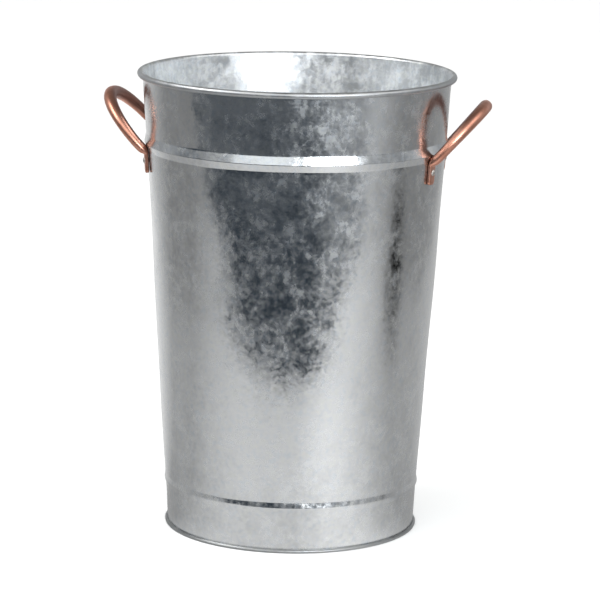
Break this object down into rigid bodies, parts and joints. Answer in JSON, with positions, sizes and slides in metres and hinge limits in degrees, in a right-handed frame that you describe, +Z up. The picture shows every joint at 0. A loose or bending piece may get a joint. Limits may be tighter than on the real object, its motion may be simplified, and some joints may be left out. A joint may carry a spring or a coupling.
{
  "type": "florist bucket",
  "caption": "Tall tapered galvanised flower bucket with a rolled rim, a raised rib, a recessed bottom and two fixed, tilted copper tube handles riveted to its sides.",
  "frame": {"origin": "centre of the base, on the surface that the bucket stands on", "axes": "+Z up along the bucket's axis; +X towards the right handle and -X towards the left handle; -Y is the front"},
  "size_m": [0.3256, 0.266, 0.3855],
  "materials": {
    "galvanised_sheet": "hot-dip galvanised steel sheet, semi-bright with a fine zinc spangle",
    "galvanised_pan": "hot-dip galvanised steel sheet, slightly duller than the wall",
    "steel_wire": "drawn mild steel wire, satin",
    "solder": "dull soft solder run",
    "copper_tube": "drawn copper tube, satin, lightly toned",
    "plated_rivet": "plated steel rivet, smooth",
    "zinc_washer": "zinc-plated pressed washer"
  },
  "bodies": {
    "root": {"body_shell": "galvanised_sheet", "rim_wire": "steel_wire", "bottom_pan": "galvanised_pan", "bottom_seal": "solder", "right_handle": "copper_tube", "left_handle": "copper_tube", "right_front_rivet": "plated_rivet", "right_rear_rivet": "plated_rivet", "left_front_rivet": "plated_rivet", "left_rear_rivet": "plated_rivet", "right_front_washer": "zinc_washer", "right_rear_washer": "zinc_washer", "left_front_washer": "zinc_washer", "left_rear_washer": "zinc_washer"}
  },
  "joints": []
}
